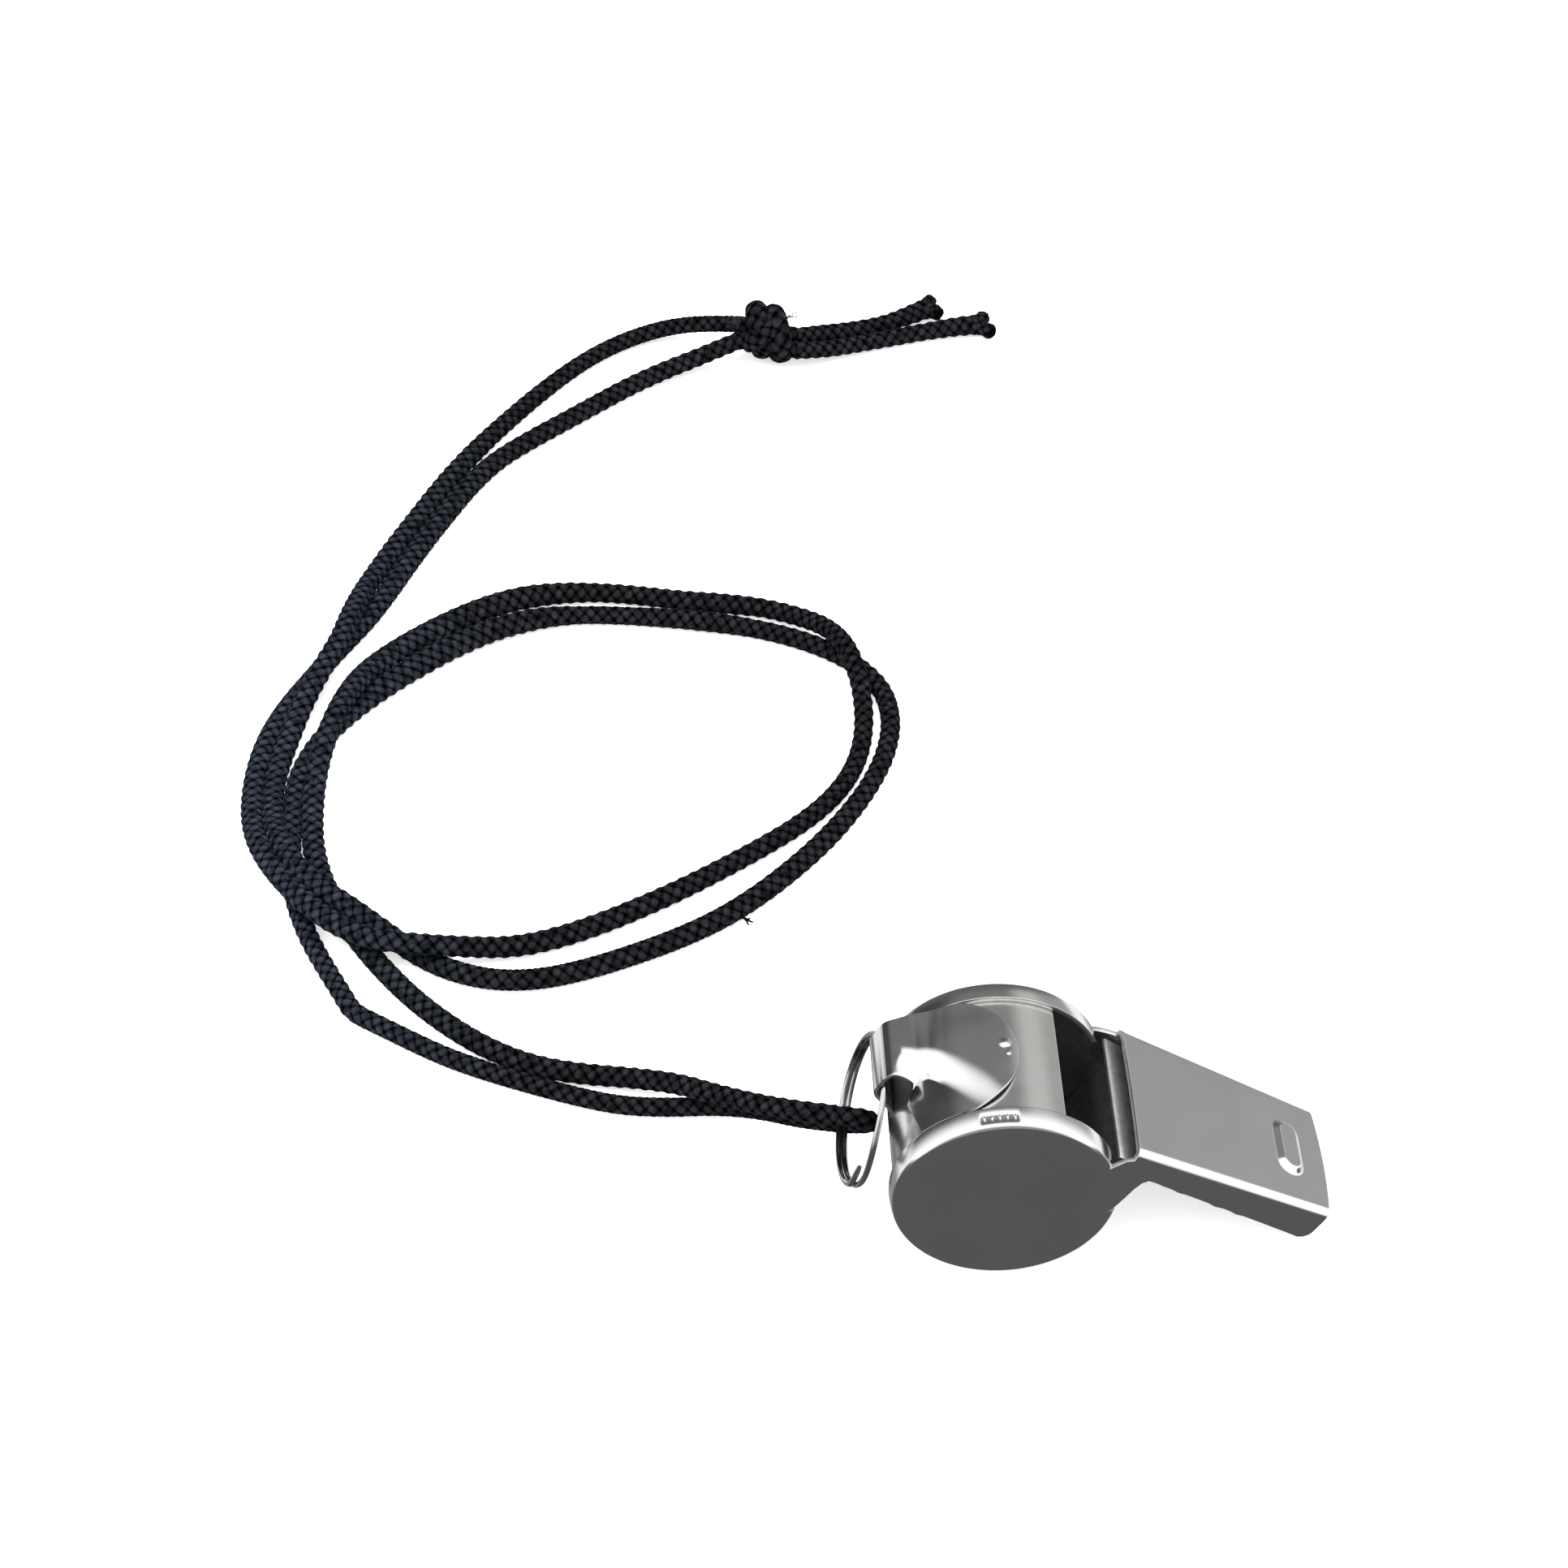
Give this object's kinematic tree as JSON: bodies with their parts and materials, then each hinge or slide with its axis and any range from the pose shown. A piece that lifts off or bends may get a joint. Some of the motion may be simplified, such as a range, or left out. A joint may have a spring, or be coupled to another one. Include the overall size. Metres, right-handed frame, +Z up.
{
  "type": "pea whistle with cord lanyard",
  "caption": "Pressed-metal pea whistle: barrel chamber with a loose ball, sloped flat mouthpiece, back lug with a split ring, and a doubled braided cord lanyard knotted at its end.",
  "frame": {"origin": "middle of the whistle's footprint on the table, measured over the whistle and its ring without the cord", "axes": "+X along the table toward the mouthpiece, +Y across the whistle toward the side its ring and cord lie on, +Z up"},
  "size_m": [0.1104, 0.156, 0.022],
  "materials": {
    "plated_shell": "bright nickel plate, near mirror",
    "plated_band": "bright nickel plate, near mirror",
    "plated_lug": "bright nickel plate, near mirror",
    "ring_wire": "bright drawn wire",
    "ball": "matt moulded plastic",
    "cord": "tightly braided polyester"
  },
  "bodies": {
    "whistle": {"body_shell": "plated_shell", "barrel_band": "plated_band", "windway_plate": "plated_band", "ring_lug": "plated_lug", "cord_strand_a": "cord", "cord_strand_b": "cord", "cord_knot": "cord", "cord_tail_a": "cord", "cord_tail_b": "cord"},
    "ring": {"split_ring": "ring_wire", "cord_bight": "cord"},
    "pea": {"pea": "ball"}
  },
  "joints": [
    {"name": "ring_swing", "type": "hinge", "parent": "whistle", "child": "ring", "pos_m": [-0.01837, 0.00245, 0.01726], "axis": [0, 1, 0], "range_deg": [0, 95], "deforming": ["cord_bight", "cord_strand_a", "cord_strand_b"]},
    {"name": "pea_orbit", "type": "hinge", "parent": "whistle", "child": "pea", "pos_m": [-0.00837, -0.00085, 0.011], "axis": [0, 1, 0], "continuous": true}
  ]
}
